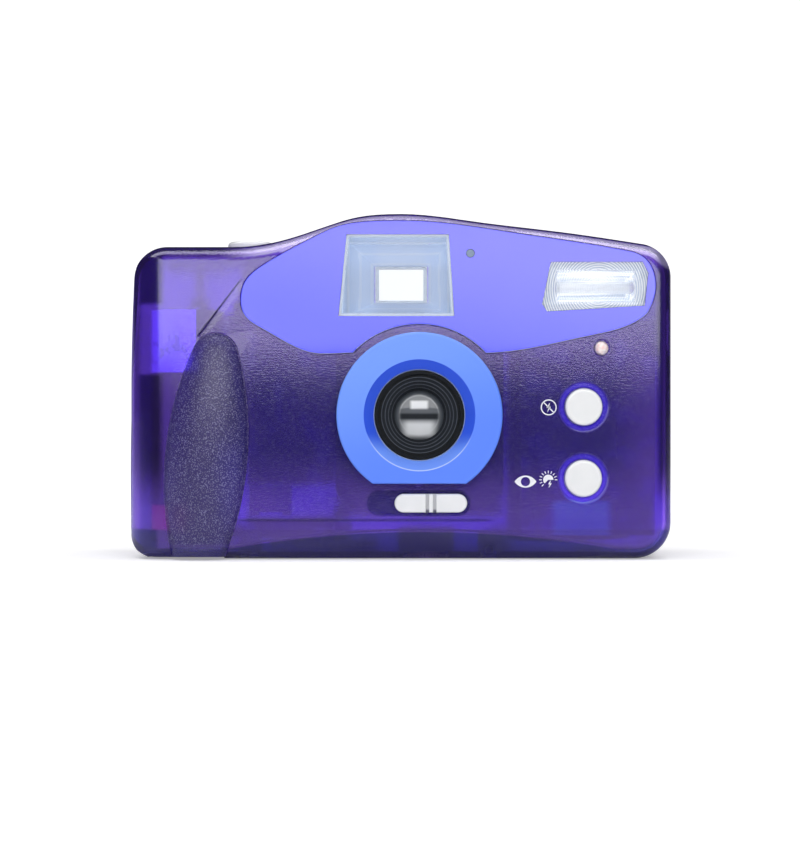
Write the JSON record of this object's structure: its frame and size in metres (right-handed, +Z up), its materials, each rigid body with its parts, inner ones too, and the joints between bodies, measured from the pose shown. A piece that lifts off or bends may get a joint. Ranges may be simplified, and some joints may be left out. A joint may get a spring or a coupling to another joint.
{
  "type": "compact film camera",
  "caption": "Compact 35 mm film camera with a translucent shell, tinted window panel, round lens ring, sliding lens cover and built-in flash.",
  "frame": {"origin": "middle of the footprint, on the surface the camera stands on", "axes": "+Z up, the lens faces -Y, +X to the right seen from the front"},
  "size_m": [0.1201, 0.044, 0.0761],
  "materials": {
    "violet_shell": "translucent, fine grain",
    "violet_latch": "satin",
    "lavender_panel": "gloss, tinted",
    "clear_window": "clear moulded plastic",
    "optical_glass": "coated",
    "flash_glass": "clear",
    "blue_ring": "satin gloss",
    "black_moulding": "matt",
    "smoky_tunnel": "matt",
    "white_gloss": "gloss",
    "white_gear": "satin",
    "black_sheet": "matt black",
    "spring_steel": "bright",
    "bush_brass": "turned",
    "mirror_reflector": "bright",
    "capacitor_can": "sleeved",
    "motor_can": "plated",
    "green_board": "lacquered",
    "wound_core": "taped",
    "seal_foam": "foam"
  },
  "bodies": {
    "camera_body": {"front_cover": "violet_shell", "rear_cover": "violet_shell", "cover_screws": "spring_steel", "tripod_bush": "bush_brass", "strap_lug": "spring_steel", "door_hinge_pin": "spring_steel", "battery_door_pin": "spring_steel", "battery_bay": "black_moulding", "battery_contacts": "spring_steel", "window_panel": "lavender_panel", "viewfinder_window": "clear_window", "viewfinder_lens": "optical_glass", "viewfinder_tube": "smoky_tunnel", "eyepiece": "clear_window", "flash_window": "clear_window", "flash_reflector": "mirror_reflector", "flash_tube": "flash_glass", "flash_capacitor": "capacitor_can", "trigger_transformer": "wound_core", "circuit_board": "green_board", "push_switches": "black_moulding", "red_eye_lamp": "clear_window", "light_sensor": "black_moulding", "lens_bezel": "blue_ring", "lens_hood_ring": "black_moulding", "pivot_pins": "spring_steel", "shutter_base": "black_moulding", "lens_barrel": "black_moulding", "front_lens": "optical_glass", "rear_lens": "optical_glass", "light_box": "black_moulding", "spool_chamber": "black_moulding", "cartridge_chamber": "black_moulding", "drive_motor": "motor_can", "gear_pin": "spring_steel", "counter_window": "clear_window", "shutter_spring": "spring_steel", "shutter_button_spring": "spring_steel"},
    "film_door": {"film_door": "violet_shell", "film_window": "clear_window", "door_light_seal": "seal_foam", "pressure_plate": "black_sheet", "pressure_spring": "spring_steel"},
    "battery_door": {"battery_door": "violet_shell", "battery_door_contact": "spring_steel"},
    "door_latch": {"door_latch": "violet_latch"},
    "lens_slider": {"lens_slider": "white_gloss"},
    "lens_cover": {"lens_cover_blade": "black_sheet"},
    "shutter": {"shutter_blade": "black_sheet"},
    "shutter_button": {"shutter_button": "white_gloss"},
    "flash_off_button": {"flash_off_button": "white_gloss"},
    "fill_flash_button": {"fill_flash_button": "white_gloss"},
    "take_up_spool": {"take_up_spool": "black_moulding"},
    "reduction_gear": {"reduction_gear": "white_gear"},
    "motor_pinion": {"motor_pinion": "white_gear"},
    "film_sprocket": {"film_sprocket": "white_gear"},
    "rewind_fork": {"rewind_fork": "white_gear"},
    "counter_dial": {"counter_dial": "white_gear"},
    "rewind_switch": {"rewind_switch": "violet_latch"}
  },
  "joints": [
    {"name": "film_door_hinge", "type": "hinge", "parent": "camera_body", "child": "film_door", "pos_m": [-0.0574, 0.0165, 0.0295], "axis": [0, 0, 1], "range_deg": [0, 110]},
    {"name": "battery_door_hinge", "type": "hinge", "parent": "camera_body", "child": "battery_door", "pos_m": [-0.04725, 0.0148, 0.0019], "axis": [1, 0, 0], "range_deg": [0, 95]},
    {"name": "door_latch_slide", "type": "slide", "parent": "camera_body", "child": "door_latch", "axis": [0, 0, 1], "range_m": [0, 0.0035], "stiffness_N_per_m": 200, "springref_m": -0.002},
    {"name": "lens_slider_slide", "type": "slide", "parent": "camera_body", "child": "lens_slider", "axis": [-1, 0, 0], "range_m": [0, 0.0046]},
    {"name": "lens_cover_swing", "type": "hinge", "parent": "camera_body", "child": "lens_cover", "pos_m": [0.0044, -0.0141, 0.0166], "axis": [0, 1, 0], "range_deg": [0, 49.5]},
    {"name": "shutter_blade_swing", "type": "hinge", "parent": "camera_body", "child": "shutter", "pos_m": [0.0134, -0.0072, 0.0316], "axis": [0, 1, 0], "range_deg": [0, 30], "stiffness_Nm_per_rad": 0.0001, "springref_deg": -22.92},
    {"name": "shutter_button_press", "type": "slide", "parent": "camera_body", "child": "shutter_button", "axis": [0, 0, -1], "range_m": [0, 0.0012], "stiffness_N_per_m": 800, "springref_m": -0.001, "deforming": ["shutter_button_spring"]},
    {"name": "flash_off_press", "type": "slide", "parent": "camera_body", "child": "flash_off_button", "axis": [0, 1, 0], "range_m": [0, 0.0006], "stiffness_N_per_m": 500, "springref_m": -0.0005},
    {"name": "fill_flash_press", "type": "slide", "parent": "camera_body", "child": "fill_flash_button", "axis": [0, 1, 0], "range_m": [0, 0.0006], "stiffness_N_per_m": 500, "springref_m": -0.0005},
    {"name": "take_up_spool_turn", "type": "hinge", "parent": "camera_body", "child": "take_up_spool", "pos_m": [-0.0264, 0.0035, 0.03], "axis": [0, 0, 1], "continuous": true},
    {"name": "reduction_gear_turn", "type": "hinge", "parent": "camera_body", "child": "reduction_gear", "pos_m": [-0.0144, 0.0035, 0.005], "axis": [0, 0, 1], "continuous": true},
    {"name": "motor_pinion_turn", "type": "hinge", "parent": "camera_body", "child": "motor_pinion", "pos_m": [-0.0264, 0.0035, 0.003], "axis": [0, 0, 1], "continuous": true},
    {"name": "film_sprocket_turn", "type": "hinge", "parent": "camera_body", "child": "film_sprocket", "pos_m": [-0.009, 0.0112, 0.046], "axis": [0, 0, 1], "continuous": true},
    {"name": "rewind_fork_turn", "type": "hinge", "parent": "camera_body", "child": "rewind_fork", "pos_m": [0.0386, 0.0026, 0.055], "axis": [0, 0, 1], "continuous": true},
    {"name": "counter_dial_turn", "type": "hinge", "parent": "camera_body", "child": "counter_dial", "pos_m": [-0.046, 0.0065, 0.065], "axis": [0, 0, 1], "continuous": true},
    {"name": "rewind_switch_slide", "type": "slide", "parent": "camera_body", "child": "rewind_switch", "axis": [1, 0, 0], "range_m": [0, 0.0025]}
  ],
  "couplings": [
    {"joint": "lens_cover_swing", "follows": "lens_slider_slide", "rad_per_m": 187.43},
    {"joint": "reduction_gear_turn", "follows": "take_up_spool_turn", "ratio": -3},
    {"joint": "motor_pinion_turn", "follows": "take_up_spool_turn", "ratio": 9},
    {"joint": "film_sprocket_turn", "follows": "take_up_spool_turn", "ratio": 1.0913},
    {"joint": "rewind_fork_turn", "follows": "take_up_spool_turn", "ratio": 0.6},
    {"joint": "counter_dial_turn", "follows": "take_up_spool_turn", "ratio": -0.02728}
  ]
}
